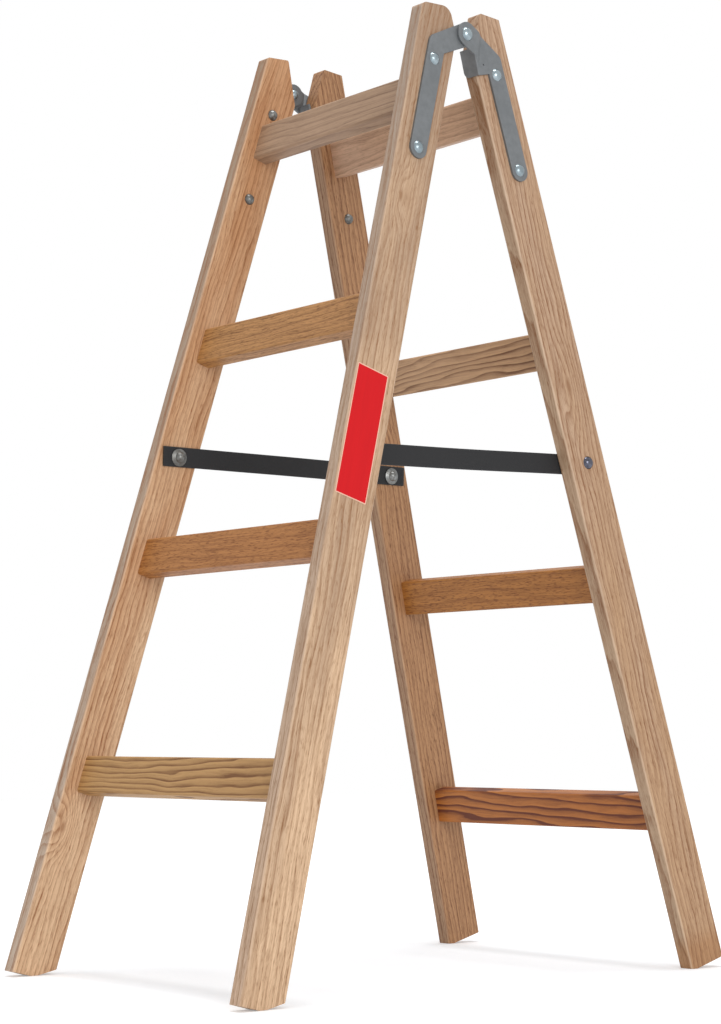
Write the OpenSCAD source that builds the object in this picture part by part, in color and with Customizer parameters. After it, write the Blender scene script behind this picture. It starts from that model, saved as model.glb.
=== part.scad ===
// Wooden trestle ladder: two sections of four rungs, hinged at the top and held by two straps.
// X runs across the spread, Y along the hinge axis, Z up. The origin is on the floor, in the middle.
// The front section stands at -X and the rear section at +X. The near side is -Y and the far side +Y.
// In a section's own frame x points inward, y along the rungs and z up along the stiles.

/* [Stiles] */
// Length of a stile along the section, from the floor to the highest point of its top
stile_len = 1209; // [1180:1:1400]
// Width of a stile, seen from the side
stile_w = 60; // [54:1:70]
// Thickness of a stile
stile_t = 21; // [20:0.5:26]
// Radius of a stile's long edges
stile_edge_r = 3; // [1:0.5:5]

/* [Stance] */
// Lean of each section from upright when the straps are taut, in degrees
lean = 15.4; // [13:0.1:17]
// Splay of each stile in its section, in degrees
splay = 3.7; // [2.5:0.1:4]
// Distance between the two stiles of a section at the floor, centre to centre
base_w = 460; // [440:1:540]

/* [Stile ends] */
// Slope of a stile's top, which falls to the outer side, in degrees
top_slope = 19; // [10:1:24]
// Width that the bevel takes off the inner side of a stile's top
top_bevel_w = 29; // [24:1:32]
// Height of that bevel
top_bevel_h = 53; // [48:1:58]
// Radius between the top and the bevel
top_inner_r = 3; // [2:0.5:6]
// Width of the bevel on the front near stile, whose top is worn rounder
worn_bevel_w = 19; // [14:1:24]
// Height of that bevel
worn_bevel_h = 35; // [28:1:42]
// Radius between that bevel and the top
worn_top_r = 14; // [8:1:16]
// Radius of the worn top's outer corner
worn_outer_r = 9; // [4:1:12]
// Radius of the outer corner of the top
top_outer_r = 4; // [2:0.5:8]
// Width of the flat that rests on the floor
foot_flat = 10; // [6:1:16]
// Distance of the front feet's ridge outward from the middle of the stile
front_ridge = 4; // [0:1:8]
// Angle at which the inner half of a front foot rises from the floor, in degrees
front_relief = 12; // [6:1:16]

/* [Rungs] */
// Height of a rung along the stiles
rung_h = 46; // [40:1:50]
// Thickness of a rung
rung_t = 22; // [20:1:26]
// Radius of a rung's long edges
rung_edge_r = 3; // [1:0.5:6]
// Height of the lowest front rung's middle along the stiles
front_first = 250; // [220:1:270]
// Distance of the highest front rung's middle below the stiles' tops
front_last_drop = 119; // [112:1:122]
// Height of the lowest rear rung's middle along the stiles
rear_first = 204; // [180:1:220]
// Distance of the highest rear rung's middle below the stiles' tops
rear_last_drop = 117; // [112:1:122]

/* [Tenons] */
// Height of a tenon
tenon_h = 34; // [28:1:36]
// Thickness of a tenon
tenon_t = 14; // [10:1:16]
// Radius of a tenon's long edges
tenon_edge_r = 3; // [1:0.5:4]
// Length of a tenon inside the stile
tenon_len = 14; // [10:0.5:15]
// Glue gap round a tenon
glue_gap = 0.1; // [0.05:0.05:0.3]
// Gap between flat faces that lie on each other
seat_gap = 0.02; // [0.01:0.01:0.1]

/* [Hinges] */
// Width of a leaf's strap
leaf_w = 25; // [22:1:28]
// Thickness of the leaf sheet
leaf_t = 3; // [2:0.5:3.5]
// Distance of the pivot beyond the stile's inner edge
pivot_reach = 8; // [7:0.5:10]
// Distance of the pivot below the stile's top
pivot_drop = 25; // [24:1:27]
// Radius of the front leaf's eye
front_eye_r = 14; // [13:0.5:15]
// Radius of the rear leaf's eye
rear_eye_r = 14.5; // [14:0.5:18]
// Distance of the upper hinge bolts below the stile's top
upper_bolt_drop = 77; // [76:1:80]
// Distance between a leaf's two bolts
bolt_pitch = 117; // [100:1:130]
// Distance of the front leaf's bend below the stile's top
front_bend_drop = 57; // [54:1:59]
// Distance of the rear leaf's bend below the stile's top
rear_bend_drop = 61; // [58:1:66]
// Distance below the stile's top where a leaf turns from the splayed stile to the upright hinge plane
fold_drop = 63; // [62:1:64]
// Distance from the stile's inner edge to the start of the rear leaf's outward step
step_inset = 4; // [3:0.5:5]
// Slant of that step against the stile, in degrees
step_slant = 20; // [16:1:24]
// Width of that step
step_w = 6; // [5:0.5:7]
// Height of the flange that grips the rear stile's inner edge
flange_h = 33; // [28:1:35]
// Distance of the flange's upper end below the stile's top
flange_drop = 41; // [40:1:44]
// Depth of the flange across the stile's edge
flange_depth = 18; // [12:1:19]
// Radius of the flange's lower free corner
flange_r = 8; // [4:1:10]

/* [Pivot rivets] */
// Radius of a pivot rivet's shank
rivet_r = 4; // [3:0.5:5]
// Radial running gap of the rear leaf on the shank
pivot_gap = 0.06; // [0.03:0.01:0.1]
// Gap between the two leaves, and between a leaf and the rivet's head
leaf_gap = 0.15; // [0.1:0.05:0.3]
// Radius of the domed head
rivet_head_r = 8; // [8:0.5:11]
// Height of the domed head
rivet_head_h = 4.5; // [3:0.5:6]
// Radius of the inner washer
washer_r = 6.5; // [6:0.1:6.8]
// Thickness of the inner washer
washer_t = 1.5; // [1:0.1:2]
// Radius of the rivet's closed inner end
rivet_tail_r = 5.8; // [5.5:0.1:6.4]
// Height of the rivet's closed inner end
rivet_tail_h = 2.5; // [2:0.1:3]

/* [Bolts] */
// Radius of every bolt's shank
bolt_r = 3; // [2.5:0.25:3.5]
// Radial gap of a bolt in its hole
bolt_gap = 0.15; // [0.1:0.05:0.3]
// Radius of a hinge bolt's domed head
bolt_head_r = 7.5; // [6:0.5:8]
// Height of a hinge bolt's domed head
bolt_head_h = 4; // [3:0.5:5]
// Radius of a cap nut
nut_r = 7; // [5:0.5:7.5]
// Height of a cap nut
nut_h = 5.5; // [5:0.5:7]
// Length of thread inside a cap nut
nut_thread = 3; // [2:0.5:3.5]
// Radius of a strap bolt's domed head
strap_head_r = 8; // [5:0.5:10]
// Height of a strap bolt's domed head
strap_head_h = 5; // [3:0.5:7]
// Thickness of the flat strap bolt head that is let into the front near stile
flush_head_h = 3; // [2:0.5:4]
// Depth of that head below the stile's face
flush_sink = 0.3; // [0.2:0.1:1]

/* [Straps] */
// Place of a strap's bolt between a stile's second and third rung, as a share of the way up: front near stile
front_near_strap_share = 0.375; // [0.3:0.005:0.6]
// The same on the front far stile
front_far_strap_share = 0.48; // [0.3:0.005:0.6]
// The same on the rear near stile
rear_near_strap_share = 0.51; // [0.3:0.005:0.6]
// The same on the rear far stile
rear_far_strap_share = 0.57; // [0.3:0.005:0.6]
// Width of the webbing
strap_w = 25; // [20:1:30]
// Thickness of the webbing
strap_t = 2; // [1.5:0.1:3]
// Length of webbing beyond each bolt
strap_tail = 23; // [18:1:25]
// Gap between the webbing and what it lies on
soft_gap = 0.3; // [0.2:0.05:0.5]
// Radial gap of a bolt in the webbing
strap_hole_gap = 0.6; // [0.4:0.1:1]
// Outer radius of a cup washer
cup_r = 11; // [8:0.5:12]
// Height of a cup washer
cup_h = 3; // [2.5:0.5:4]
// Thickness of a cup washer's rim
cup_rim = 0.8; // [0.6:0.1:1]

/* [Hidden] */
$fn = 48;
arc_steps = 8;
cut = 2;
half_base = base_w / 2;
pivot_x = stile_w / 2 + pivot_reach;
pivot_z = stile_len - pivot_drop;
half_spread = pivot_x * cos(lean) + pivot_z * sin(lean);
pivot_height = pivot_z * cos(lean) - pivot_x * sin(lean);
upper_bolt_z = stile_len - upper_bolt_drop;
lower_bolt_z = upper_bolt_z - bolt_pitch;
fold_z = stile_len - fold_drop;
flange_top = stile_len - flange_drop;
// The front feet reach a little further out than the rear ones; this keeps the outer box centred
mid_x = (front_ridge + stile_w / 2 - foot_flat) * tan(lean) * sin(lean) / 2;
half_t_level = stile_t / 2 / cos(splay);
leaf_stack = leaf_t + leaf_gap;
rung_count = 4;
front_pitch = (stile_len - front_last_drop - front_first) / (rung_count - 1);
rear_pitch = (stile_len - rear_last_drop - rear_first) / (rung_count - 1);
front_near_strap_at = front_first + front_pitch * (1 + front_near_strap_share);
front_far_strap_at = front_first + front_pitch * (1 + front_far_strap_share);
rear_near_strap_at = rear_first + rear_pitch * (1 + rear_near_strap_share);
rear_far_strap_at = rear_first + rear_pitch * (1 + rear_far_strap_share);
strap_skew = tan(splay) * sin(lean);
strap_tilt = atan(tan(splay) * cos(lean));
strap_gap = stile_w / 2 / cos(lean) * strap_skew + soft_gap;
cup_base = strap_gap + strap_t + cup_r * strap_skew + soft_gap;
stile_colour = "#c9ab88";
front_rung_colours = ["#b98f5e", "#a06a38", "#ab7f52", "#a98a6c"];
rear_rung_colours = ["#a3703f", "#9c6838", "#8d6f56", "#96755a"];
steel_colour = "#7d8083";
bright_colour = "#b9bfc6";
webbing_colour = "#35373a";

// Distance from the section's middle, at a height z, of a stile's centre line and its outer and inner faces,
// of the rungs' shoulders and of the hinge leaves
function axis_y(z) = half_base - z * tan(splay);
function outer_y(z) = axis_y(z) + half_t_level;
function inner_y(z) = axis_y(z) - half_t_level;
function shoulder_y(z) = inner_y(z) - seat_gap;
function leaf_y(z) = outer_y(z) + seat_gap;

// Heights of a section's rungs, lowest first
function rung_heights(first, pitch) = [for (i = [0 : rung_count - 1]) first + i * pitch];
front_rungs = rung_heights(front_first, front_pitch);
rear_rungs = rung_heights(rear_first, rear_pitch);

// Points of an arc of radius r that rounds the corner p between its neighbours a and b
function unit(v) = v / norm(v);
function turn(from, to) = to - from > 180 ? to - from - 360 : to - from < -180 ? to - from + 360 : to - from;
function corner_arc(a, p, b, r) =
    let (
        u = unit(a - p),
        v = unit(b - p),
        half = acos(u * v) / 2,
        centre = p + unit(u + v) * r / sin(half),
        first = p + u * r / tan(half) - centre,
        last = p + v * r / tan(half) - centre,
        start = atan2(first.y, first.x),
        sweep = turn(start, atan2(last.y, last.x))
    )
    [for (i = [0 : arc_steps]) let (w = start + sweep * i / arc_steps) centre + r * [cos(w), sin(w)]];

// Frames
// A section's own frame, and that frame at the place of each section
module section_frame() {
    translate([-half_spread, 0, 0]) rotate([0, lean, 0]) children();
}
module front_frame() {
    translate([mid_x, 0, 0]) section_frame() children();
}
module rear_frame() {
    translate([mid_x, 0, 0]) rotate([0, 0, 180]) section_frame() children();
}
// The frame of the stile on one side of a section, with z along the stile and its start at height z
module stile_frame(side, z) {
    translate([0, side * axis_y(z), z]) rotate([side * splay, 0, 0]) children();
}
// Turns an upward axis to point outward from a stile on one side
module outward(side) {
    rotate([-side * 90, 0, 0]) children();
}
// Draws a flat outline, given as x and z, across the section with its middle at y = 0
module across(depth) {
    rotate([90, 0, 0]) linear_extrude(height = depth, center = true) children();
}

// Shared shapes
module round_rect(size, r) {
    square([size.x - 2 * r, size.y], center = true);
    square([size.x, size.y - 2 * r], center = true);
    for (i = [-1, 1], j = [-1, 1]) translate([i * (size.x / 2 - r), j * (size.y / 2 - r)]) circle(r = r);
}
// Spherical cap of base radius r and height h
module dome(r, h) {
    ball = (r * r + h * h) / (2 * h);
    intersection() {
        translate([0, 0, h - ball]) sphere(r = ball, $fn = 64);
        cylinder(r = r, h = h);
    }
}
// Flat bar with round ends of radii r1 and r2 round two points
module link(p1, r1, p2, r2) {
    way = atan2(p2.y - p1.y, p2.x - p1.x);
    open = acos((r1 - r2) / norm(p2 - p1));
    translate(p1) circle(r = r1);
    translate(p2) circle(r = r2);
    polygon([
        p1 + r1 * [cos(way + open), sin(way + open)],
        p1 + r1 * [cos(way - open), sin(way - open)],
        p2 + r2 * [cos(way - open), sin(way - open)],
        p2 + r2 * [cos(way + open), sin(way + open)]
    ]);
}

// Stiles
// Foot of a front stile: square outside, a flat on the floor, then a relief up to the inner edge
front_foot = let (flat_end = foot_flat - front_ridge) [
    [stile_w / 2, flat_end * tan(lean) + (stile_w / 2 - flat_end) * tan(lean + front_relief)],
    [flat_end, flat_end * tan(lean)],
    [-front_ridge, -front_ridge * tan(lean)],
    [-stile_w / 2, -front_ridge * tan(lean)]
];
// Foot of a rear stile: square, with a flat on the floor at the inner edge
rear_foot = let (flat_start = stile_w / 2 - foot_flat) [
    [stile_w / 2, stile_w / 2 * tan(lean)],
    [flat_start, flat_start * tan(lean)],
    [-stile_w / 2, flat_start * tan(lean)]
];
// Side view of a stile; the bevel is given as its width, its height and the radius above it
module stile_side(foot, bevel) {
    outer_low = [-stile_w / 2, 0];
    outer_top = [-stile_w / 2, stile_len - (stile_w - bevel[0]) * tan(top_slope)];
    inner_top = [stile_w / 2 - bevel[0], stile_len];
    bevel_low = [stile_w / 2, stile_len - bevel[1]];
    polygon(concat(
        foot,
        corner_arc(outer_low, outer_top, inner_top, bevel[3]),
        corner_arc(outer_top, inner_top, bevel_low, bevel[2]),
        [bevel_low]
    ));
}
module bolt_hole(side, z, r) {
    stile_frame(side, z) rotate([90, 0, 0]) cylinder(r = r, h = 2 * stile_t, center = true);
}
module mortise(side, z) {
    depth = inner_y(z) + tenon_len + glue_gap;
    translate([0, side * depth / 2, z])
        across(depth) round_rect([tenon_t + 2 * glue_gap, tenon_h + 2 * glue_gap], tenon_edge_r + glue_gap);
}
module stile(side, foot, rungs, strap_at, bevel = [top_bevel_w, top_bevel_h, top_inner_r, top_outer_r]) {
    color(stile_colour) difference() {
        intersection() {
            stile_frame(side, -stile_w)
                linear_extrude(height = stile_len + 2 * stile_w) round_rect([stile_w, stile_t], stile_edge_r);
            across(base_w * 2) stile_side(foot, bevel);
        }
        for (z = rungs) mortise(side, z);
        for (z = [lower_bolt_z, upper_bolt_z, strap_at]) bolt_hole(side, z, bolt_r + bolt_gap);
    }
}
module front_near_stile() {
    front_frame() difference() {
        stile(-1, front_foot, front_rungs, front_near_strap_at,
            [worn_bevel_w, worn_bevel_h, worn_top_r, worn_outer_r]);
        stile_frame(-1, front_near_strap_at) outward(-1)
            translate([0, 0, stile_t / 2 - flush_sink - flush_head_h - bolt_gap])
                cylinder(r = strap_head_r + bolt_gap, h = flush_head_h + stile_t);
    }
}
module front_far_stile() {
    front_frame() stile(1, front_foot, front_rungs, front_far_strap_at);
}
module rear_near_stile() {
    rear_frame() stile(1, rear_foot, rear_rungs, rear_near_strap_at);
}
module rear_far_stile() {
    rear_frame() stile(-1, rear_foot, rear_rungs, rear_far_strap_at);
}

// Rungs
// A rung at height z: shoulders on the stiles' inner faces and a tenon at each end
module rung(z, colour) {
    low = z - rung_h;
    high = z + rung_h;
    color(colour) union() {
        intersection() {
            translate([0, 0, z]) across(base_w) round_rect([rung_t, rung_h], rung_edge_r);
            rotate([90, 0, 90]) linear_extrude(height = 2 * rung_t, center = true)
                polygon([
                    [-shoulder_y(low), low], [shoulder_y(low), low],
                    [shoulder_y(high), high], [-shoulder_y(high), high]
                ]);
        }
        translate([0, 0, z]) across(2 * (inner_y(z) + tenon_len)) round_rect([tenon_t, tenon_h], tenon_edge_r);
    }
}
module front_rung(i) {
    front_frame() rung(front_rungs[i], front_rung_colours[i]);
}
module rear_rung(i) {
    rear_frame() rung(rear_rungs[i], rear_rung_colours[i]);
}

// Hinge leaves
pivot = [pivot_x, pivot_z];
// Bent bar from the lower bolt, up the stile and over to the pivot
module leaf_outline(bend_drop, eye_r) {
    bend = [0, stile_len - bend_drop];
    link([0, lower_bolt_z], leaf_w / 2, bend, leaf_w / 2);
    link(bend, leaf_w / 2, pivot, eye_r);
}
// Web from the strap to the flange
module flange_web() {
    low = flange_top - flange_h;
    polygon([[0, low], [0, fold_z], [stile_w / 2 + leaf_t, fold_z], [stile_w / 2 + leaf_t, low]]);
}
// Gusset in the corner between the arm and the flange
module flange_gusset() {
    edge = stile_w / 2 + leaf_t;
    polygon([[0, fold_z], [edge, fold_z], [edge, flange_top], pivot]);
}
// Side view of the sheet: along the splayed stile, then upright
module leaf_sheet(side) {
    low = lower_bolt_z - leaf_w;
    high = pivot_z + 2 * rear_eye_r;
    inside = [[leaf_y(low), low], [leaf_y(fold_z), fold_z], [leaf_y(fold_z), high]];
    outside = [for (i = [len(inside) - 1 : -1 : 0]) inside[i] + [leaf_t, 0]];
    rotate([90, 0, 90]) linear_extrude(height = 4 * stile_w, center = true)
        polygon([for (p = concat(inside, outside)) [side * p.x, p.y]]);
}
// Frame of the slanted step, with x toward the pivot and z along the step
module step_frame() {
    translate([stile_w / 2 - step_inset, 0, fold_z]) rotate([0, -step_slant, 0]) children();
}
// Sheet across the step: flat on the stile, then raised by the thickness of the front leaf
module stepped_sheet(side) {
    level = leaf_y(fold_z);
    inside = [[-step_w, level], [0, level], [step_w, level + leaf_stack], [2 * pivot_x, level + leaf_stack]];
    outside = [for (i = [len(inside) - 1 : -1 : 0]) inside[i] + [0, leaf_t]];
    step_frame() linear_extrude(height = 4 * stile_w, center = true)
        polygon([for (p = concat(inside, outside)) [p.x, side * p.y]]);
}
// Part of the rear leaf that stays flat: all below the fold, and above it what the step leaves
module flat_side() {
    reach = 2 * stile_w;
    foot = [stile_w / 2 - step_inset, fold_z];
    polygon([
        [-reach, lower_bolt_z - reach], [reach, lower_bolt_z - reach], [reach, fold_z],
        foot, foot + reach * [-sin(step_slant), cos(step_slant)], [-reach, fold_z + reach]
    ]);
}
module leaf_holes(side, pivot_hole_r) {
    for (z = [lower_bolt_z, upper_bolt_z]) bolt_hole(side, z, bolt_r + bolt_gap);
    translate([pivot_x, 0, pivot_z]) rotate([90, 0, 0])
        cylinder(r = pivot_hole_r, h = 2 * base_w, center = true);
}
module front_leaf(side) {
    color(steel_colour) difference() {
        intersection() {
            across(2 * base_w) leaf_outline(front_bend_drop, front_eye_r);
            leaf_sheet(side);
        }
        leaf_holes(side, rivet_r + bolt_gap);
    }
}
module rear_leaf(side) {
    color(steel_colour) difference() {
        union() {
            intersection() {
                across(2 * base_w) intersection() {
                    union() {
                        leaf_outline(rear_bend_drop, rear_eye_r);
                        flange_web();
                    }
                    flat_side();
                }
                leaf_sheet(side);
            }
            intersection() {
                across(2 * base_w) intersection() {
                    union() {
                        leaf_outline(rear_bend_drop, rear_eye_r);
                        flange_gusset();
                    }
                    translate([-stile_w, fold_z]) square([4 * stile_w, 2 * stile_w]);
                }
                stepped_sheet(side);
            }
            flange(side);
        }
        leaf_holes(side, rivet_r + pivot_gap);
    }
}
// Flange folded over the stile's inner edge, with its lower free corner rounded
module flange(side) {
    level = leaf_y(fold_z);
    outer = level + leaf_stack + leaf_t;
    reach = outer - level + flange_depth;
    translate([stile_w / 2 + seat_gap, side * (outer - reach / 2), flange_top - flange_h / 2])
        rotate([90, 0, 90]) linear_extrude(height = leaf_t) intersection() {
            square([reach, flange_h], center = true);
            translate([side * flange_r, flange_r])
                round_rect([reach + 2 * flange_r, flange_h + 2 * flange_r], flange_r);
        }
}
module front_near_leaf() {
    front_frame() front_leaf(-1);
}
module front_far_leaf() {
    front_frame() front_leaf(1);
}
module rear_near_leaf() {
    rear_frame() rear_leaf(1);
}
module rear_far_leaf() {
    rear_frame() rear_leaf(-1);
}

// Pivot rivets
// Frame on the hinge axis, with z outward from the inner face of the front leaf's eye
module pivot_frame(side) {
    translate([mid_x, side * leaf_y(fold_z), pivot_height]) outward(side) children();
}
module pivot_rivet(side) {
    seat = leaf_stack + leaf_t + leaf_gap;
    tail = washer_t + 2 * seat_gap;
    color(bright_colour) pivot_frame(side) union() {
        translate([0, 0, seat]) dome(rivet_head_r, rivet_head_h);
        translate([0, 0, -tail]) cylinder(r = rivet_r, h = tail + seat + rivet_head_h / 2);
        translate([0, 0, -tail]) mirror([0, 0, 1]) dome(rivet_tail_r, rivet_tail_h);
    }
}
module pivot_washer(side) {
    color(steel_colour) pivot_frame(side) translate([0, 0, -washer_t - seat_gap]) difference() {
        cylinder(r = washer_r, h = washer_t);
        translate([0, 0, -cut]) cylinder(r = rivet_r + bolt_gap, h = washer_t + 2 * cut);
    }
}
module near_pivot_rivet() {
    pivot_rivet(-1);
}
module far_pivot_rivet() {
    pivot_rivet(1);
}
module near_pivot_washer() {
    pivot_washer(-1);
}
module far_pivot_washer() {
    pivot_washer(1);
}

// Hinge bolts
// Bolt with a domed head at distance seat outside the stile's middle and its end at distance end inside
module dome_bolt(seat, end, r, h) {
    translate([0, 0, seat]) dome(r, h);
    translate([0, 0, -end]) cylinder(r = bolt_r, h = end + seat + h / 2);
}
// Domed nut with its base at distance seat inside the stile's middle
module cap_nut(seat) {
    translate([0, 0, -seat]) mirror([0, 0, 1]) difference() {
        dome(nut_r, nut_h);
        translate([0, 0, -cut]) cylinder(r = bolt_r + bolt_gap, h = cut + nut_thread + bolt_gap);
    }
}
module hinge_bolts(side) {
    color(bright_colour) for (z = [lower_bolt_z, upper_bolt_z]) stile_frame(side, z) outward(side)
        dome_bolt(stile_t / 2 + leaf_t + 2 * seat_gap, stile_t / 2 + nut_thread, bolt_head_r, bolt_head_h);
}
module hinge_nuts(side) {
    color(bright_colour) for (z = [lower_bolt_z, upper_bolt_z]) stile_frame(side, z) outward(side)
        cap_nut(stile_t / 2 + seat_gap);
}
module front_near_hinge_bolts() {
    front_frame() hinge_bolts(-1);
}
module front_far_hinge_bolts() {
    front_frame() hinge_bolts(1);
}
module rear_near_hinge_bolts() {
    rear_frame() hinge_bolts(1);
}
module rear_far_hinge_bolts() {
    rear_frame() hinge_bolts(-1);
}
module front_near_hinge_nuts() {
    front_frame() hinge_nuts(-1);
}
module front_far_hinge_nuts() {
    front_frame() hinge_nuts(1);
}
module rear_near_hinge_nuts() {
    rear_frame() hinge_nuts(1);
}
module rear_far_hinge_nuts() {
    rear_frame() hinge_nuts(-1);
}

// Straps
// Webbing along the inner faces of the two stiles on one side, from the front bolt to the rear one
module strap(side, front_at, rear_at) {
    run = 2 * half_spread - (front_at + rear_at) * sin(lean);
    rise = (rear_at - front_at) * cos(lean);
    middle = (front_at + rear_at) / 2;
    off_x = (front_at - rear_at) / 2 * sin(lean);
    color(webbing_colour) difference() {
        translate([mid_x + off_x, side * (inner_y(middle) - strap_gap), middle * cos(lean)])
            rotate([side * strap_tilt, 0, 0]) rotate([0, -atan2(rise, run), 0])
                translate([0, -side * strap_t / 2, 0])
                    cube([norm([run, rise]) + 2 * strap_tail, strap_t, strap_w], center = true);
        front_frame() bolt_hole(side, front_at, bolt_r + strap_hole_gap);
        rear_frame() bolt_hole(-side, rear_at, bolt_r + strap_hole_gap);
    }
}
module near_strap() {
    strap(-1, front_near_strap_at, rear_near_strap_at);
}
module far_strap() {
    strap(1, front_far_strap_at, rear_far_strap_at);
}
module strap_bolt(side, at) {
    end = stile_t / 2 + cup_base + cup_h + nut_thread;
    color(bright_colour) stile_frame(side, at) outward(side)
        dome_bolt(stile_t / 2 + seat_gap, end, strap_head_r, strap_head_h);
}
// Cup washer that presses the webbing to the stile
module cup_washer(side, at) {
    bore = bolt_r + bolt_gap;
    color(bright_colour) stile_frame(side, at) outward(side)
        translate([0, 0, -stile_t / 2 - cup_base]) mirror([0, 0, 1])
            rotate_extrude() polygon([[bore, 0], [cup_r, 0], [cup_r, cup_rim], [nut_r, cup_h], [bore, cup_h]]);
}
module strap_nut(side, at) {
    color(bright_colour) stile_frame(side, at) outward(side) cap_nut(stile_t / 2 + cup_base + cup_h + seat_gap);
}
module front_near_strap_bolt() {
    end = stile_t / 2 + cup_base + cup_h + nut_thread;
    seat = stile_t / 2 - flush_sink - flush_head_h;
    color(bright_colour) front_frame() stile_frame(-1, front_near_strap_at) outward(-1) union() {
        translate([0, 0, seat]) cylinder(r = strap_head_r, h = flush_head_h);
        translate([0, 0, -end]) cylinder(r = bolt_r, h = end + seat + flush_head_h / 2);
    }
}
module front_far_strap_bolt() {
    front_frame() strap_bolt(1, front_far_strap_at);
}
module rear_near_strap_bolt() {
    rear_frame() strap_bolt(1, rear_near_strap_at);
}
module rear_far_strap_bolt() {
    rear_frame() strap_bolt(-1, rear_far_strap_at);
}
module front_near_cup_washer() {
    front_frame() cup_washer(-1, front_near_strap_at);
}
module front_far_cup_washer() {
    front_frame() cup_washer(1, front_far_strap_at);
}
module rear_near_cup_washer() {
    rear_frame() cup_washer(1, rear_near_strap_at);
}
module rear_far_cup_washer() {
    rear_frame() cup_washer(-1, rear_far_strap_at);
}
module front_near_strap_nut() {
    front_frame() strap_nut(-1, front_near_strap_at);
}
module front_far_strap_nut() {
    front_frame() strap_nut(1, front_far_strap_at);
}
module rear_near_strap_nut() {
    rear_frame() strap_nut(1, rear_near_strap_at);
}
module rear_far_strap_nut() {
    rear_frame() strap_nut(-1, rear_far_strap_at);
}

// Assembly
front_near_stile();
front_far_stile();
rear_near_stile();
rear_far_stile();
front_rung(0);  // front_rung_1
front_rung(1);  // front_rung_2
front_rung(2);  // front_rung_3
front_rung(3);  // front_rung_4
rear_rung(0);  // rear_rung_1
rear_rung(1);  // rear_rung_2
rear_rung(2);  // rear_rung_3
rear_rung(3);  // rear_rung_4
front_near_leaf();
front_far_leaf();
rear_near_leaf();
rear_far_leaf();
near_pivot_rivet();
far_pivot_rivet();
near_pivot_washer();
far_pivot_washer();
front_near_hinge_bolts();
front_far_hinge_bolts();
rear_near_hinge_bolts();
rear_far_hinge_bolts();
front_near_hinge_nuts();
front_far_hinge_nuts();
rear_near_hinge_nuts();
rear_far_hinge_nuts();
near_strap();
far_strap();
front_near_strap_bolt();
front_far_strap_bolt();
rear_near_strap_bolt();
rear_far_strap_bolt();
front_near_cup_washer();
front_far_cup_washer();
rear_near_cup_washer();
rear_far_cup_washer();
front_near_strap_nut();
front_far_strap_nut();
rear_near_strap_nut();
rear_far_strap_nut();
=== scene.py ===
import math

import bpy
from mathutils import Euler, Matrix, Vector


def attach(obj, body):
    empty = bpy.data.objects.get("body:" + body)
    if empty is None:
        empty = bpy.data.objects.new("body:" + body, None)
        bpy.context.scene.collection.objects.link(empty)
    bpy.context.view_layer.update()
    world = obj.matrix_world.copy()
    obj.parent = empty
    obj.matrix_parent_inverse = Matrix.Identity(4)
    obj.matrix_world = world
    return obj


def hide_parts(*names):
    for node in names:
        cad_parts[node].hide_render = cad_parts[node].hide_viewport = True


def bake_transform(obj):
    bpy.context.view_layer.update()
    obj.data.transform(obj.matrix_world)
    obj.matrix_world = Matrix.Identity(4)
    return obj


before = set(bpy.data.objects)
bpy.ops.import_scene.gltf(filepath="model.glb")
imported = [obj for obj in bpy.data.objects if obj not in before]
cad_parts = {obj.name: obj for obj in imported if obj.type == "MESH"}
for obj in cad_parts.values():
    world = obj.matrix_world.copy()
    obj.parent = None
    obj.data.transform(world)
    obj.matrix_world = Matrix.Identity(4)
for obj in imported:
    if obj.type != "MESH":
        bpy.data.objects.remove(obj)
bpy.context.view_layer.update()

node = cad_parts

# View
# The ladder is seen from its near front corner, from just above the lowest rungs, with the lens
# raised instead of tilted so that the stiles keep their lean.
lens_px = 2243.2
image_w, image_h = 721, 1024
axis_px = (430.06, 665.42)
eye_place = (-1.781395, -2.148502, 0.284307)
eye_degrees = (91.938, -0.108, -41.117)
camera_data = bpy.data.cameras.new("view")
camera = bpy.data.objects.new("view", camera_data)
bpy.context.scene.collection.objects.link(camera)
bpy.context.scene.camera = camera
camera_data.sensor_width = 36
camera_data.lens = lens_px * camera_data.sensor_width / image_h
camera_data.shift_x = (image_w / 2 - axis_px[0]) / image_h
camera_data.shift_y = (axis_px[1] - image_h / 2) / image_h
camera.location = eye_place
camera.rotation_euler = [math.radians(angle) for angle in eye_degrees]
bpy.context.scene.view_settings.view_transform = "Standard"


# Studio
# A white sheet of paper in a white room: one broad soft lamp stands in front of the near side, and a
# weaker one hangs over the ladder, whose light leaves a faint band of shadow between each pair of feet.
def linear(colour):
    parts = [int(colour[i:i + 2], 16) / 255 for i in (1, 3, 5)]
    return tuple(v / 12.92 if v <= 0.04045 else ((v + 0.055) / 1.055) ** 2.4 for v in parts) + (1,)


def add(tree, kind, inputs=None, **settings):
    made = tree.nodes.new(kind)
    for name, value in settings.items():
        setattr(made, name, value)
    for name, value in (inputs or {}).items():
        if isinstance(value, bpy.types.NodeSocket):
            tree.links.new(value, made.inputs[name])
        else:
            made.inputs[name].default_value = value
    return made


def seen(tree):
    # 1 for what the camera sees, straight or in a mirror, and 0 for light on its way to a surface
    path = add(tree, "ShaderNodeLightPath")
    shiny = add(tree, "ShaderNodeMath",
                {0: path.outputs["Is Camera Ray"], 1: path.outputs["Is Glossy Ray"]}, operation="MAXIMUM")
    clear = add(tree, "ShaderNodeMath",
                {0: shiny.outputs[0], 1: path.outputs["Is Transmission Ray"]}, operation="MAXIMUM")
    return clear.outputs[0]


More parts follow.
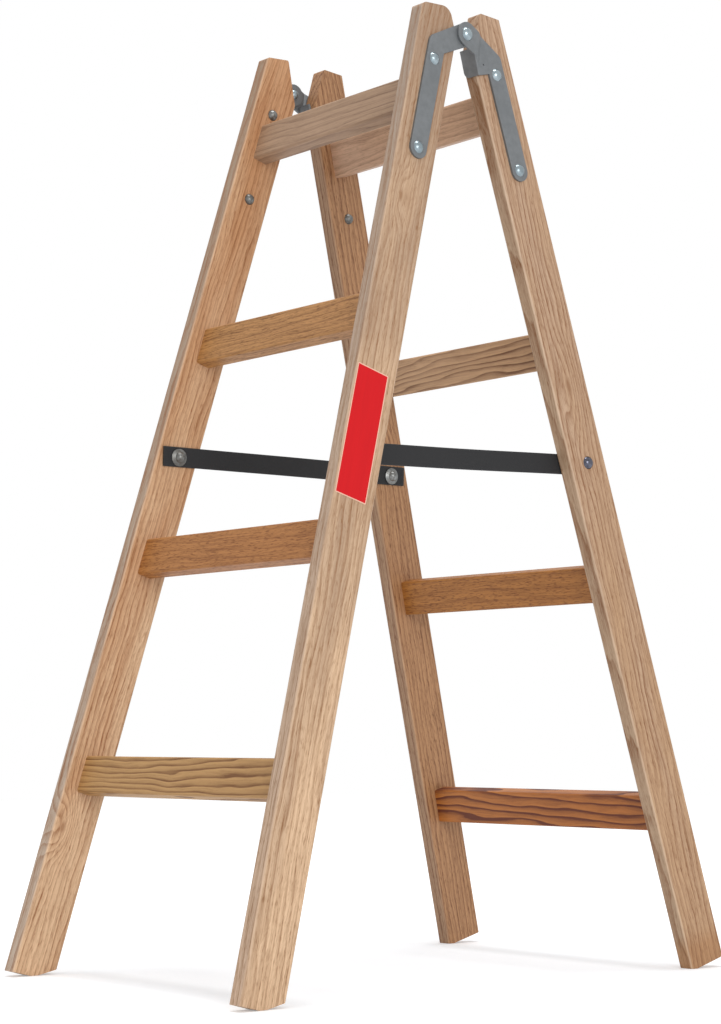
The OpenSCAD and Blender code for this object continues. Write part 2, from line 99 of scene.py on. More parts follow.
white = linear("#FFFFFF")
light_strength, wall_strength = 0.58, 1.0
room = bpy.data.worlds.new("white_room")
bpy.context.scene.world = room
room.use_nodes = True
tree = room.node_tree
tree.nodes.clear()
room_light = add(tree, "ShaderNodeBackground", {"Color": white, "Strength": light_strength})
room_wall = add(tree, "ShaderNodeBackground", {"Color": white, "Strength": wall_strength})
room_mix = add(tree, "ShaderNodeMixShader",
               {0: seen(tree), 1: room_light.outputs[0], 2: room_wall.outputs[0]})
add(tree, "ShaderNodeOutputWorld", {"Surface": room_mix.outputs[0]})

paper_size, paper_drop = 14, 0.0004
fade_from, fade_to = 0.4, 1.6
glow_near, glow_far = 0.28, 0.6
bpy.ops.object.select_all(action="DESELECT")
bpy.ops.mesh.primitive_plane_add(size=paper_size, location=(0, 0, -paper_drop))
floor = bpy.context.object
floor.name = "paper_floor"
paper = bpy.data.materials.new("white_paper")
paper.use_nodes = True
tree = paper.node_tree
tree.nodes.clear()
paper_face = add(tree, "ShaderNodeBsdfDiffuse", {"Color": linear("#F1F3F6")})
# Round the ladder the paper keeps its shadows; further off it fades into the white wall
paper_place = add(tree, "ShaderNodeTexCoord")
paper_far = add(tree, "ShaderNodeVectorMath", {0: paper_place.outputs["Object"]}, operation="LENGTH")
paper_fade = add(tree, "ShaderNodeMapRange",
                 {"Value": paper_far.outputs["Value"], "From Min": fade_from, "From Max": fade_to,
                  "To Min": glow_near, "To Max": glow_far})
paper_glow = add(tree, "ShaderNodeEmission", {"Color": white, "Strength": paper_fade.outputs[0]})
paper_sum = add(tree, "ShaderNodeAddShader", {0: paper_face.outputs[0], 1: paper_glow.outputs[0]})
paper_mix = add(tree, "ShaderNodeMixShader",
                {0: seen(tree), 1: paper_face.outputs[0], 2: paper_sum.outputs[0]})
add(tree, "ShaderNodeOutputMaterial", {"Surface": paper_mix.outputs[0]})
floor.data.materials.append(paper)

for lamp_name, lamp_place, lamp_aim, lamp_size, lamp_watts in (
        ("near_softbox", (-1.5, -4.5, 1.5), (0, 0, 0.45), 2.0, 86),
        ("ceiling_softbox", (0.0, 0.0, 3.2), (0, 0, 0), 1.0, 36)):
    lamp_data = bpy.data.lights.new(lamp_name, "AREA")
    lamp_data.shape = "SQUARE"
    lamp_data.size = lamp_size
    lamp_data.energy = lamp_watts
    lamp = bpy.data.objects.new(lamp_name, lamp_data)
    bpy.context.scene.collection.objects.link(lamp)
    lamp.location = lamp_place
    way = [lamp_aim[i] - lamp_place[i] for i in range(3)]
    tip = math.acos(-way[2] / math.dist(lamp_aim, lamp_place))
    lamp.rotation_euler = (tip, 0, math.atan2(-way[0], way[1]))


# Stiles
# Four planed larch boards, 60 x 21 mm, sawn along the grain and thinly oiled. Growth rings cut at a
# slant show as brown lines that waver and close round knots; every board has its own tone.
lean, splay = math.radians(15.4), math.radians(3.7)
half_spread, half_base, mid_x = 0.351054, 0.230, 0.000878
stile_half, stile_ends = (30, 10.5), (0, 1209)


def timber(name, place, turn, half, ends, seed, pith, tilt, rings, colours, shares,
           knot=None, edge=None, arris_highlight=0.0, foot=None):
    # Lengths are millimetres, but place is in metres. rings holds the spacing and how far the rings waver,
    # colours the lower and the upper ground and the lines, shares how strongly lines, fibres and pores
    # show. knot holds its place across and up the board, its half width and height, and the turns that
    # the rings make round it; edge the lower and the upper colour of the narrow faces, painted light;
    # arris_highlight how strongly a pale painted highlight lies on the arrises, and foot the colour that
    # the board turns towards its lowest end
    ring_mm, waver_mm = rings
    low, high, line = [linear(colour) for colour in colours]
    bold, streak, fleck = shares
    # Pattern sizes across the board, through it and up the grain; real fibres and pores are finer, and
    # are drawn this coarse so that they show
    bend_mm, cloud_mm = (45.45, 45.45, 192.3), (22.22, 22.22, 166.7)
    fibre_mm, pore_mm = (2.0, 2.0, 90.91), (1.1765, 1.1765, 9.091)
    # A knot goes right through the board, and the wave texture turns 20 radians for each unit
    year_stretch, knot_deep, wave_radians = 0.12, 1000, 20
    arris_mm, narrow_mm, foot_fade_mm = (2.6, 0.6), (1.0, 0.2), (30.0, 52.0)
    made = bpy.data.materials.new(name)
    made.use_nodes = True
    tree = made.node_tree
    tree.nodes.clear()
    # The board's own axes in millimetres: x across its width, y through it and z up the grain
    coords = add(tree, "ShaderNodeTexCoord")
    board = add(tree, "ShaderNodeMapping",
                {"Vector": coords.outputs["Object"], "Location": place, "Rotation": turn,
                 "Scale": (0.001, 0.001, 0.001)}, vector_type="TEXTURE")
    # Growth rings round a pith that lies beside the board; it wavers by some millimetres on its way up
    bend_space = add(tree, "ShaderNodeMapping",
                     {"Vector": board.outputs[0], "Location": (seed * 11, seed * 5, seed * 3),
                      "Scale": [1 / size for size in bend_mm]})
    bend = add(tree, "ShaderNodeTexNoise",
               {"Vector": bend_space.outputs[0], "Scale": 1.0, "Detail": 2.5, "Roughness": 0.55})
    wander = add(tree, "ShaderNodeVectorMath",
                 {0: bend.outputs["Color"], 1: (waver_mm * 2, waver_mm * 2, 0),
                  2: (-waver_mm, -waver_mm, 0)},
                 operation="MULTIPLY_ADD")
    grown = add(tree, "ShaderNodeVectorMath", {0: board.outputs[0], 1: wander.outputs[0]}, operation="ADD")
    log = add(tree, "ShaderNodeMapping",
              {"Vector": grown.outputs[0], "Location": (-pith[0], -pith[1], 0),
               "Rotation": (tilt[0], tilt[1], 0)})
    # Some years grow wider than others: the unevenness is drawn out along the grain
    years = add(tree, "ShaderNodeMapping", {"Vector": log.outputs[0], "Scale": (1, 1, year_stretch)})
    # Round a knot the rings close to an eye, and the knot itself is a dark spot
    swirl = 0.0
    if knot:
        knot_x, knot_z, wide, tall, turns = knot
        eye = add(tree, "ShaderNodeMapping",
                  {"Vector": board.outputs[0], "Location": (knot_x, 0, knot_z),
                   "Scale": (wide, knot_deep, tall)},
                  vector_type="TEXTURE")
        away = add(tree, "ShaderNodeVectorMath", {0: eye.outputs[0]}, operation="LENGTH")
        turned = add(tree, "ShaderNodeMapRange",
                     {"Value": away.outputs["Value"], "To Min": turns * 2 * math.pi, "To Max": 0.0},
                     interpolation_type="SMOOTHERSTEP")
        spot = add(tree, "ShaderNodeMapRange",
                   {"Value": away.outputs["Value"], "From Min": 0.06, "From Max": 0.2, "To Min": 0.75,
                    "To Max": 0.0})
        swirl = turned.outputs[0]
    ring_wave = add(tree, "ShaderNodeTexWave",
                    {"Vector": years.outputs[0], "Scale": 2 * math.pi / wave_radians / ring_mm,
                     "Distortion": 2.2, "Detail": 2.0, "Detail Scale": 1.6, "Phase Offset": swirl},
                    wave_type="RINGS", rings_direction="Z", wave_profile="SAW")
    late = add(tree, "ShaderNodeValToRGB", {"Fac": ring_wave.outputs["Fac"]})
    late.color_ramp.elements[0].position = 0.15
    late.color_ramp.elements[1].position = 0.85
    late.color_ramp.elements[1].color = (0.9, 0.9, 0.9, 1)
    for stop, share in ((0.6, 0.3), (0.95, 1.0), (1.0, 0.1)):
        late.color_ramp.elements.new(stop).color = (share, share, share, 1)
    # Long thin fibres, slow changes of tone in patches, and short pores
    fibre_space = add(tree, "ShaderNodeMapping",
                      {"Vector": grown.outputs[0], "Location": (seed * 13, seed * 7, 0),
                       "Scale": [1 / size for size in fibre_mm]})
    fibres = add(tree, "ShaderNodeTexNoise",
                 {"Vector": fibre_space.outputs[0], "Scale": 1.0, "Detail": 4.0, "Roughness": 0.62})
    cloud_space = add(tree, "ShaderNodeMapping",
                      {"Vector": board.outputs[0], "Location": (seed * 31, 0, seed * 17),
                       "Scale": [1 / size for size in cloud_mm]})
    clouds = add(tree, "ShaderNodeTexNoise",
                 {"Vector": cloud_space.outputs[0], "Scale": 1.0, "Detail": 2.0})
    pore_space = add(tree, "ShaderNodeMapping",
                     {"Vector": grown.outputs[0], "Location": (seed * 5, seed * 3, 0),
                      "Scale": [1 / size for size in pore_mm]})
    pores = add(tree, "ShaderNodeTexNoise", {"Vector": pore_space.outputs[0], "Scale": 1.0, "Detail": 2.0})
    # The ground goes from the board's lower to its upper colour, in patches. Where the lower end is paler,
    # as on the front stiles, this is partly the board's own tone and partly painted light, the lower end
    # catching more light
    split = add(tree, "ShaderNodeSeparateXYZ", {"Vector": board.outputs[0]})
    rise = add(tree, "ShaderNodeMapRange",
               {"Value": split.outputs["Z"], "From Min": ends[0], "From Max": ends[1]})
    patch = add(tree, "ShaderNodeMath", {0: clouds.outputs["Fac"], 1: 1.6, 2: -0.8},
                operation="MULTIPLY_ADD")
    lift = add(tree, "ShaderNodeMath", {0: rise.outputs[0], 1: patch.outputs[0]}, operation="ADD",
               use_clamp=True)
    ground = add(tree, "ShaderNodeMix", {"Factor": lift.outputs[0], 6: low, 7: high}, data_type="RGBA")
    side_x = add(tree, "ShaderNodeMath", {0: split.outputs["X"]}, operation="ABSOLUTE")
    side_y = add(tree, "ShaderNodeMath", {0: split.outputs["Y"]}, operation="ABSOLUTE")
    if edge:
        # Painted light: the narrow faces take their own greyer colour, darker near the top, standing in for
        # the cooler light that falls on them from the side
        narrow = add(tree, "ShaderNodeMapRange",
                     {"Value": side_x.outputs[0], "From Min": half[0] - narrow_mm[0],
                      "From Max": half[0] - narrow_mm[1], "To Max": 0.8})
        narrow_painted_light = add(tree, "ShaderNodeMix",
                     {"Factor": rise.outputs[0], 6: linear(edge[0]), 7: linear(edge[1])}, data_type="RGBA")
        ground = add(tree, "ShaderNodeMix",
                     {"Factor": narrow.outputs[0], 6: ground.outputs[2], 7: narrow_painted_light.outputs[2]},
                     data_type="RGBA")
    if foot:
        # This board turns darker and warmer over its lowest 40 mm, towards the bottom
        foot_darkening = add(tree, "ShaderNodeMapRange",
                     {"Value": split.outputs["Z"], "From Min": foot_fade_mm[0], "From Max": foot_fade_mm[1],
                      "To Min": 0.9, "To Max": 0.0})
        ground = add(tree, "ShaderNodeMix",
                     {"Factor": foot_darkening.outputs[0], 6: ground.outputs[2], 7: linear(foot)}, data_type="RGBA")
    # Lines, fibres and pores are drawn on the ground, and the knot over them
    fibre_share = add(tree, "ShaderNodeMapRange",
                      {"Value": fibres.outputs["Fac"], "From Min": 0.42, "From Max": 0.78,
                       "To Max": streak})
    pore_share = add(tree, "ShaderNodeMapRange",
                     {"Value": pores.outputs["Fac"], "From Min": 0.52, "From Max": 0.7, "To Max": fleck})
    cloud_share = add(tree, "ShaderNodeMapRange",
                      {"Value": clouds.outputs["Fac"], "From Min": 0.3, "From Max": 0.65,
                       "To Min": bold * 0.55, "To Max": bold})
    line_share = add(tree, "ShaderNodeMath", {0: late.outputs[0], 1: cloud_share.outputs[0]},
                     operation="MULTIPLY")
    lined = add(tree, "ShaderNodeMath", {0: line_share.outputs[0], 1: fibre_share.outputs[0]},
                operation="ADD")
    drawn = add(tree, "ShaderNodeMath", {0: lined.outputs[0], 1: pore_share.outputs[0]}, operation="ADD",
                use_clamp=True)
    if knot:
        drawn = add(tree, "ShaderNodeMath", {0: drawn.outputs[0], 1: spot.outputs[0]}, operation="MAXIMUM")
    # Painted highlight: on the rounded arrises the drawing is fainter, so that they read paler
    near_x = add(tree, "ShaderNodeMapRange",
                 {"Value": side_x.outputs[0], "From Min": half[0] - arris_mm[0],
                  "From Max": half[0] - arris_mm[1]})
    near_y = add(tree, "ShaderNodeMapRange",
                 {"Value": side_y.outputs[0], "From Min": half[1] - arris_mm[0],
                  "From Max": half[1] - arris_mm[1]})
    arris = add(tree, "ShaderNodeMath", {0: near_x.outputs[0], 1: near_y.outputs[0]}, operation="MULTIPLY")
    arris_highlight_fade = add(tree, "ShaderNodeMath", {0: arris.outputs[0], 1: -0.3, 2: 1.0}, operation="MULTIPLY_ADD")
    shade = add(tree, "ShaderNodeMath", {0: drawn.outputs[0], 1: arris_highlight_fade.outputs[0]}, operation="MULTIPLY")
    colour = add(tree, "ShaderNodeMix", {"Factor": shade.outputs[0], 6: ground.outputs[2], 7: line},
                 data_type="RGBA")
    if arris_highlight:
        # Painted highlight: the arrises are mixed towards a pale colour, standing in for the light that the
        # rounded edges catch
        pale = add(tree, "ShaderNodeMath", {0: arris.outputs[0], 1: arris_highlight}, operation="MULTIPLY")
        colour = add(tree, "ShaderNodeMix",
                     {"Factor": pale.outputs[0], 6: colour.outputs[2], 7: linear("#EBD3B8")},
                     data_type="RGBA")
    gloss = add(tree, "ShaderNodeMapRange", {"Value": drawn.outputs[0], "To Min": 0.5, "To Max": 0.62})
    height = add(tree, "ShaderNodeMath", {0: late.outputs[0], 1: fibres.outputs["Fac"]}, operation="ADD")
    relief = add(tree, "ShaderNodeBump",
                 {"Height": height.outputs[0], "Strength": 0.12, "Distance": 0.0004})
    wood = add(tree, "ShaderNodeBsdfPrincipled",
               {"Base Color": colour.outputs[2], "Roughness": gloss.outputs[0], "Normal": relief.outputs[0],
                "IOR": 1.5})
    add(tree, "ShaderNodeOutputMaterial", {"Surface": wood.outputs[0]})
    return made


def dress(name, material):
    node[name].data.materials.clear()
    node[name].data.materials.append(material)


front_x, rear_x = mid_x - half_spread, mid_x + half_spread
near_turn = (-splay, lean, 0)
dress("front_near_stile", timber(
    "oiled_larch_front_near", (front_x, -half_base, 0), near_turn, stile_half, stile_ends,
    seed=1.0, pith=(-58, 40), tilt=(0.0, 0.014), rings=(6.4, 10.0),
    colours=("#E0BD99", "#AD9077", "#8A5F38"), shares=(0.5, 0.6, 0.4),
    knot=(-11, 950, 22, 60, 2.2), edge=("#D7B99F", "#A59587"), arris_highlight=0.15))
dress("front_far_stile", timber(
    "oiled_larch_front_far", (front_x, half_base, 0), (splay, lean, 0), stile_half, stile_ends,
    seed=2.0, pith=(46, -40), tilt=(0.0, -0.014), rings=(6.2, 11.0),
    colours=("#DEB993", "#C28F64", "#8F5C33"), shares=(0.58, 0.6, 0.4),
    knot=(-17, 182, 30, 62, 3.4), edge=("#C7B6A5", "#93806C"), arris_highlight=0.3))
dress("rear_near_stile", timber(
    "oiled_larch_rear_near", (rear_x, -half_base, 0), (splay, lean, math.pi), stile_half, stile_ends,
    seed=3.0, pith=(-42, -18), tilt=(0.0, 0.05), rings=(6.8, 11.0),
    colours=("#C09B77", "#C0A084", "#835733"), shares=(0.64, 0.6, 0.4),
    knot=(2, 749, 30, 100, 2.0), edge=("#BBA084", "#BBA084"), arris_highlight=0.45, foot="#B2855B"))
dress("rear_far_stile", timber(
    "oiled_larch_rear_far", (rear_x, half_base, 0), (-splay, lean, math.pi), stile_half, stile_ends,
    seed=4.0, pith=(70, 40), tilt=(0.0, 0.01), rings=(6.5, 10.0),
    colours=("#B6885E", "#BA8C63", "#74492A"), shares=(0.6, 0.6, 0.55),
    edge=("#AB8A6C", "#AB8A6C"), arris_highlight=0.2))

# Rungs
# Eight planed hardwood slats, 46 x 22 mm, tenoned blind into the stiles. They come from darker boards:
# some are plain and reddish with short pores, others carry bold brown rings.
rung_half, rung_ends = (11, 23), (-230, 230)
for section, index, height_mm, seed, pith, tilt, rings, colours, shares in (
        ("front", 1, 250, 11.0, (11, 36), (-0.02, -0.052), (6.6, 11.0),
         ("#C69960", "#C2955D", "#74491F"), (1.0, 0.4, 0.1)),
        ("front", 2, 530, 12.0, (90, 60), (0.0, 0.01), (6.0, 8.0),
         ("#B97C3F", "#B6783C", "#804A1C"), (0.4, 0.7, 0.9)),
        ("front", 3, 810, 13.0, (40, 60), (0.03, 0.0), (6.0, 9.0),
         ("#BF8A4F", "#BF8951", "#7C5026"), (0.45, 0.8, 0.6)),
        ("front", 4, 1090, 14.0, (40, 40), (0.03, 0.02), (6.4, 8.0),
         ("#AF8E72", "#A8886B", "#7A5D46"), (0.6, 0.6, 0.2)),
        ("rear", 1, 204, 15.0, (19, -44), (-0.04, 0.0), (8.4, 12.0),
         ("#BE7531", "#B66D2B", "#62290B"), (1.5, 0.4, 0.1)),
        ("rear", 2, 500, 16.0, (90, -60), (0.0, 0.01), (6.0, 8.0),
         ("#B47632", "#B27431", "#784417"), (0.4, 0.7, 0.9)),
        ("rear", 3, 796, 17.0, (19, -48), (0.03, 0.02), (6.8, 12.0),
         ("#C9A27C", "#C39A72", "#6A4428"), (0.9, 0.4, 0.1)),
        ("rear", 4, 1092, 18.0, (40, 44), (0.03, 0.0), (6.4, 8.0),
         ("#D5B093", "#CFA887", "#86644C"), (0.4, 0.45, 0.3))):
    # A rung's grain runs along Y, so its board is turned over; x now goes through it and y up its face
    along = height_mm / 1000
    way = 1 if section == "front" else -1
    middle = (mid_x - way * (half_spread - along * math.sin(lean)), 0, along * math.cos(lean))
    slat = timber("planed_hardwood_%s_%d" % (section, index), middle, (math.pi / 2, way * lean, 0),
                  rung_half, rung_ends, seed, pith, tilt, rings, colours, shares)
    dress("%s_rung_%d" % (section, index), slat)


# Hinges
# Each side has two leaves of pressed sheet steel that turn on a rivet, with a washer between them.
# Barrel zinc plating gives a flat blue-grey, a little mottled, and the press leaves the rivets bright.
def zinc(name, colour, shadow, metallic, rough, grain_mm):
    mottle_mm = 35.714
    made = bpy.data.materials.new(name)
    made.use_nodes = True
    tree = made.node_tree
    tree.nodes.clear()
    coords = add(tree, "ShaderNodeTexCoord")
    spangle = add(tree, "ShaderNodeTexNoise",
                  {"Vector": coords.outputs["Object"], "Scale": 1000 / grain_mm, "Detail": 4.0})
    cast = add(tree, "ShaderNodeTexNoise",
               {"Vector": coords.outputs["Object"], "Scale": 1000 / mottle_mm, "Detail": 2.0})
    blend = add(tree, "ShaderNodeMath", {0: spangle.outputs["Fac"], 1: cast.outputs["Fac"]},
                operation="MULTIPLY")
    tone = add(tree, "ShaderNodeMapRange", {"Value": blend.outputs[0], "From Min": 0.14, "From Max": 0.38})
    face = add(tree, "ShaderNodeMix", {"Factor": tone.outputs[0], 6: linear(shadow), 7: linear(colour)},
               data_type="RGBA")
    gloss = add(tree, "ShaderNodeMapRange",
                {"Value": tone.outputs[0], "To Min": rough + 0.07, "To Max": rough - 0.04})
    relief = add(tree, "ShaderNodeBump",
                 {"Height": spangle.outputs["Fac"], "Strength": 0.06, "Distance": 0.0003})
    metal = add(tree, "ShaderNodeBsdfPrincipled",
                {"Base Color": face.outputs[2], "Metallic": metallic, "Roughness": gloss.outputs[0],
                 "Normal": relief.outputs[0]})
    add(tree, "ShaderNodeOutputMaterial", {"Surface": metal.outputs[0]})
    return made


corners = ("front_near", "front_far", "rear_near", "rear_far")
satin_zinc = zinc("satin_zinc_sheet", "#7B7E80", "#727577", 0.5, 0.5, 7.0)
pressed_zinc = zinc("pressed_zinc_head", "#9AA6AB", "#7F8C92", 0.85, 0.26, 5.0)
for corner in corners:
    dress(corner + "_leaf", satin_zinc)
for side in ("near", "far"):
    dress(side + "_pivot_washer", satin_zinc)
    dress(side + "_pivot_rivet", pressed_zinc)

# Hinge fasteners
# Two domed bolts hold each leaf to its stile, with a cap nut on the inner face. The press leaves the
# domes bright; the nuts are duller, and browned by handling.
dull_zinc = zinc("dull_zinc_nut", "#858786", "#62605C", 0.8, 0.38, 4.0)
for corner in corners:
    dress(corner + "_hinge_bolts", pressed_zinc)
    dress(corner + "_hinge_nuts", dull_zinc)

# Straps
# Two lengths of woven polypropylene webbing, 25 x 2 mm, keep the sections from spreading. Their ends
# are cut square and sealed with heat, and a bolt through a melted hole holds each end to its stile.
strap_w, strap_t, strap_tail, strap_gap = 0.025, 0.002, 0.023, 0.000834
strap_columns, strap_rows = 160, 12
hole_r, hole_ring, strap_edge_r = 0.0035, 1.7, 0.0005
strap_bow, bolt_clear = 0.003, 0.031
lane_mm, rib_mm, fuzz_mm = 6.0, 3.0, (2.0, 0.7143)
selvedge_mm, sealed_mm = (10.6, 11.4), (3.0, 1.8)
strap_tilt = math.atan(math.tan(splay) * math.cos(lean))
inner_base = half_base - stile_half[1] / 1000 / math.cos(splay)
for side, way, front_at, rear_at in (("near", -1, 0.635, 0.65096), ("far", 1, 0.6644, 0.66872)):
    run = 2 * half_spread - (front_at + rear_at) * math.sin(lean)
    rise = (rear_at - front_at) * math.cos(lean)
    span = math.hypot(run, rise)
    length = span + 2 * strap_tail
    bpy.ops.object.select_all(action="DESELECT")
    bpy.ops.mesh.primitive_grid_add(x_subdivisions=strap_columns, y_subdivisions=strap_rows, size=1)
    strap = bpy.context.object
    strap.name = side + "_webbing"
    bpy.ops.object.mode_set(mode="EDIT")
    bpy.ops.transform.resize(value=(length, strap_w, 1))
    # The faces over the two bolts are cut out, and the ring round each hole is drawn in to its edge
    bpy.ops.mesh.select_all(action="DESELECT")
    bpy.ops.object.mode_set(mode="OBJECT")
    for face in strap.data.polygons:
        face.select = math.hypot(abs(face.center.x) - span / 2, face.center.y) < hole_r
    bpy.ops.object.mode_set(mode="EDIT")
    bpy.ops.mesh.delete(type="FACE")
    bpy.ops.mesh.select_all(action="DESELECT")
    bpy.ops.object.mode_set(mode="OBJECT")
    for point in strap.data.vertices:
        hub = Vector((math.copysign(span / 2, point.co.x), 0, 0))
        if (point.co - hub).length < hole_r * hole_ring:
            point.co = hub + (point.co - hub).normalized() * max(hole_r, (point.co - hub).length)
    # Between the stiles the slack webbing bows inwards by 3 mm
    free = span / 2 - bolt_clear
    for point in strap.data.vertices:
        if abs(point.co.x) < free:
            point.co.z = strap_bow * math.cos(math.pi * point.co.x / free / 2) ** 2
    thick = strap.modifiers.new("thickness", "SOLIDIFY")
    thick.thickness = strap_t
    thick.offset = 0
    soft = strap.modifiers.new("soft_edge", "BEVEL")
    soft.width = strap_edge_r
    soft.segments = 2
    soft.limit_method = "ANGLE"
    bpy.ops.object.modifier_apply(modifier="thickness")
    bpy.ops.object.modifier_apply(modifier="soft_edge")
    # x runs from the front to the rear stile, z points inwards and y lies along the stiles' inner faces
    middle = (front_at + rear_at) / 2
    inner_y = inner_base - middle * math.tan(splay)
    level = Matrix.Rotation(way * strap_tilt, 4, "X") @ Matrix.Rotation(-math.atan2(rise, run), 4, "Y")
    stand = Matrix.Rotation(way * math.pi / 2, 4, "X")
    centre = Vector((mid_x + (front_at - rear_at) / 2 * math.sin(lean), way * (inner_y - strap_gap),
                     middle * math.cos(lean)))
    inwards = Matrix.Translation((0, -way * strap_t / 2, 0))
    strap.matrix_world = Matrix.Translation(centre) @ level @ inwards @ stand
    bpy.ops.object.transform_apply(location=True, rotation=True, scale=True)
    bpy.ops.object.shade_smooth_by_angle(angle=math.radians(40))

    # Webbing: rows of diagonal ribs that meet in a herringbone, drawn 3 mm apart so that they show,
    # a corded selvedge on each side and a glossy melted end
    webbing = bpy.data.materials.new("woven_polypropylene_" + side)
    webbing.use_nodes = True
    tree = webbing.node_tree
    tree.nodes.clear()
    cloth = add(tree, "ShaderNodeUVMap")
    flat = add(tree, "ShaderNodeMapping",
               {"Vector": cloth.outputs[0], "Location": (-length * 500, -strap_w * 500, 0),
                "Scale": (length * 1000, strap_w * 1000, 1)})
    split = add(tree, "ShaderNodeSeparateXYZ", {"Vector": flat.outputs[0]})
    lane = add(tree, "ShaderNodeMath", {0: split.outputs["Y"], 1: lane_mm}, operation="PINGPONG")
    slant = add(tree, "ShaderNodeMath", {0: split.outputs["X"], 1: lane.outputs[0]}, operation="ADD")
    angle = add(tree, "ShaderNodeMath", {0: slant.outputs[0], 1: 2 * math.pi / rib_mm},
                operation="MULTIPLY")
    ribs = add(tree, "ShaderNodeMath", {0: angle.outputs[0]}, operation="SINE")
    fuzz_space = add(tree, "ShaderNodeMapping",
                     {"Vector": flat.outputs[0], "Scale": (1 / fuzz_mm[0], 1 / fuzz_mm[1], 1)})
    fuzz = add(tree, "ShaderNodeTexNoise", {"Vector": fuzz_space.outputs[0], "Scale": 1.0, "Detail": 3.0})
    across = add(tree, "ShaderNodeMath", {0: split.outputs["Y"]}, operation="ABSOLUTE")
    selvedge = add(tree, "ShaderNodeMapRange",
                   {"Value": across.outputs[0], "From Min": selvedge_mm[0], "From Max": selvedge_mm[1]})
    lengthwise = add(tree, "ShaderNodeMath", {0: split.outputs["X"]}, operation="ABSOLUTE")
    sealed = add(tree, "ShaderNodeMapRange",
                 {"Value": lengthwise.outputs[0], "From Min": length * 500 - sealed_mm[0],
                  "From Max": length * 500 - sealed_mm[1]})
    rib_tone = add(tree, "ShaderNodeMapRange",
                   {"Value": ribs.outputs[0], "From Min": -1.0, "To Min": 0.15, "To Max": 0.75})
    tone = add(tree, "ShaderNodeMath", {0: rib_tone.outputs[0], 1: fuzz.outputs["Fac"]},
               operation="MULTIPLY")
    tone_edge = add(tree, "ShaderNodeMath", {0: selvedge.outputs[0], 1: 0.22, 2: tone.outputs[0]},
                    operation="MULTIPLY_ADD", use_clamp=True)
    yarn = add(tree, "ShaderNodeMix",
               {"Factor": tone_edge.outputs[0], 6: linear("#1D1D1E"), 7: linear("#343436")},
               data_type="RGBA")
    dyed = add(tree, "ShaderNodeMix",
               {"Factor": sealed.outputs[0], 6: yarn.outputs[2], 7: linear("#1B1B1B")}, data_type="RGBA")
    gloss = add(tree, "ShaderNodeMapRange", {"Value": sealed.outputs[0], "To Min": 0.72, "To Max": 0.42})
    relief = add(tree, "ShaderNodeBump",
                 {"Height": tone_edge.outputs[0], "Strength": 0.5, "Distance": 0.0004})
    fabric = add(tree, "ShaderNodeBsdfPrincipled",
                 {"Base Color": dyed.outputs[2], "Roughness": gloss.outputs[0], "Normal": relief.outputs[0],
                  "IOR": 1.49, "Specular IOR Level": 0.3, "Sheen Weight": 0.1})
    add(tree, "ShaderNodeOutputMaterial", {"Surface": fabric.outputs[0]})
    strap.data.materials.append(webbing)

    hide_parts(side + "_strap")
    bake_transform(strap)

# Strap fasteners
# A domed bolt comes through each stile, its polished head coloured dark as a painted dark reflection, and a
# cup washer under a cap nut presses the webbing flat. The near front bolt's flat head lies sunk under the
# label.
# The bolt heads' dark colour is a painted reflection, not tarnish
dark_reflection_zinc = zinc("zinc_head_painted_dark_reflection", "#5E5F6A", "#34343F", 0.9, 0.16, 4.0)
for corner in corners:
    dress(corner + "_strap_bolt", dark_reflection_zinc)
    dress(corner + "_cup_washer", dull_zinc)
    dress(corner + "_strap_nut", dull_zinc)

# Label
# A plain red vinyl sticker, 46 x 157 mm, rubbed on by hand to the near front stile's outer face. It is
# cut with small round corners and has a narrow pale rim where the print stops.
label_w, label_h, label_t = 0.0460, 0.1570, 0.0002
label_corner_r, label_rim, label_gap = 0.0016, 0.0013, 0.0001
label_across, label_up = -0.0056, 0.6545
wave_m = (0.006, 0.006, 0.08)
bpy.ops.object.select_all(action="DESELECT")
bpy.ops.mesh.primitive_plane_add(size=1)
label = bpy.context.object
label.name = "red_label"
bpy.ops.object.mode_set(mode="EDIT")
bpy.ops.transform.resize(value=(label_w, label_h, 1))
bpy.ops.mesh.bevel(offset=label_corner_r, segments=4, affect="VERTICES")
bpy.ops.mesh.select_all(action="SELECT")
bpy.ops.mesh.inset(thickness=label_rim)
bpy.ops.object.mode_set(mode="OBJECT")
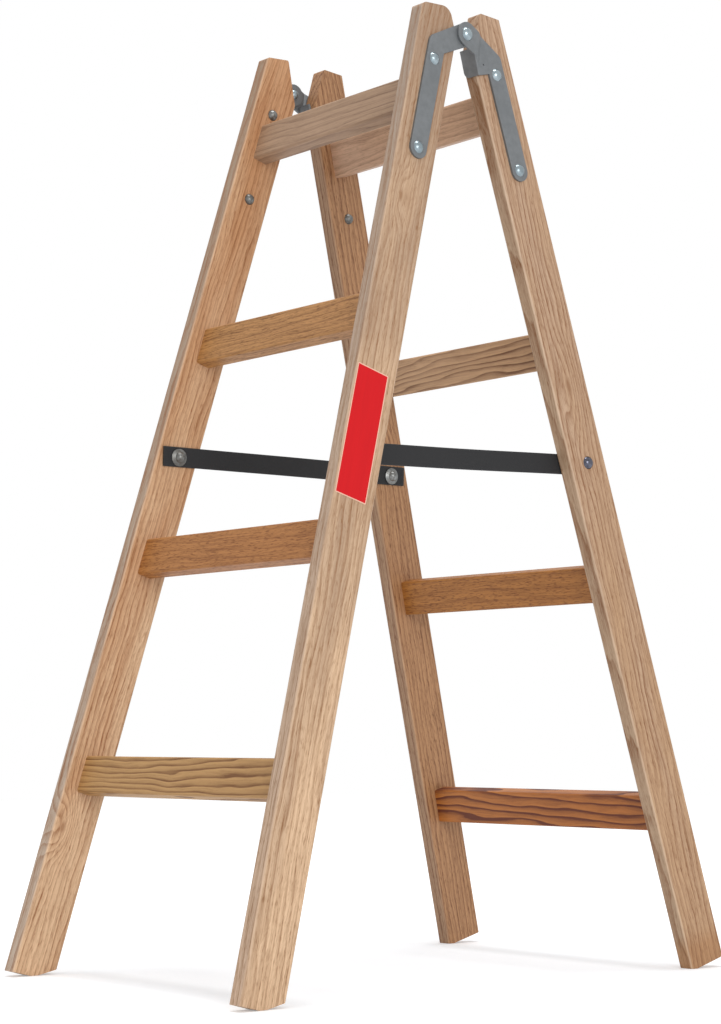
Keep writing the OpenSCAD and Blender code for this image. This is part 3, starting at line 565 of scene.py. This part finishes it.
# Calendered vinyl: satin, with the grain of the wood showing faintly through as slow waves
for vinyl_name, light, dark in (("pale_vinyl_rim", "#EFC3AC", "#E4B29B"),
                                ("printed_red_vinyl", "#D51018", "#C80F17")):
    vinyl = bpy.data.materials.new(vinyl_name)
    vinyl.use_nodes = True
    tree = vinyl.node_tree
    tree.nodes.clear()
    coords = add(tree, "ShaderNodeTexCoord")
    face_space = add(tree, "ShaderNodeMapping",
                     {"Vector": coords.outputs["Object"], "Rotation": near_turn, "Scale": wave_m},
                     vector_type="TEXTURE")
    waves = add(tree, "ShaderNodeTexNoise", {"Vector": face_space.outputs[0], "Scale": 1.0, "Detail": 2.0})
    print_tone = add(tree, "ShaderNodeMix",
                     {"Factor": waves.outputs["Fac"], 6: linear(light), 7: linear(dark)}, data_type="RGBA")
    relief = add(tree, "ShaderNodeBump",
                 {"Height": waves.outputs["Fac"], "Strength": 0.1, "Distance": 0.0004})
    gloss = add(tree, "ShaderNodeMapRange", {"Value": waves.outputs["Fac"], "To Min": 0.5, "To Max": 0.58})
    film = add(tree, "ShaderNodeBsdfPrincipled",
               {"Base Color": print_tone.outputs[2], "Roughness": gloss.outputs[0],
                "Normal": relief.outputs[0], "IOR": 1.54, "Specular IOR Level": 0.2})
    add(tree, "ShaderNodeOutputMaterial", {"Surface": film.outputs[0]})
    label.data.materials.append(vinyl)
# The one face inside the rim has more than four corners, and takes the red print
for face in label.data.polygons:
    if len(face.vertices) > 4:
        face.material_index = 1
thick = label.modifiers.new("thickness", "SOLIDIFY")
thick.thickness = label_t
thick.offset = -1
bpy.ops.object.modifier_apply(modifier="thickness")
# On the stile the label's x lies across the board, its y goes up the grain and its face looks outwards
label_out = stile_half[1] / 1000 + label_t + label_gap
on_face = Matrix(((1, 0, 0, label_across), (0, 0, -1, -label_out), (0, 1, 0, label_up), (0, 0, 0, 1)))
on_stile = Matrix.Translation((front_x, -half_base, 0)) @ Euler(near_turn).to_matrix().to_4x4()
label.matrix_world = on_stile @ on_face
bpy.ops.object.transform_apply(location=True, rotation=True, scale=True)
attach(label, "front_section")
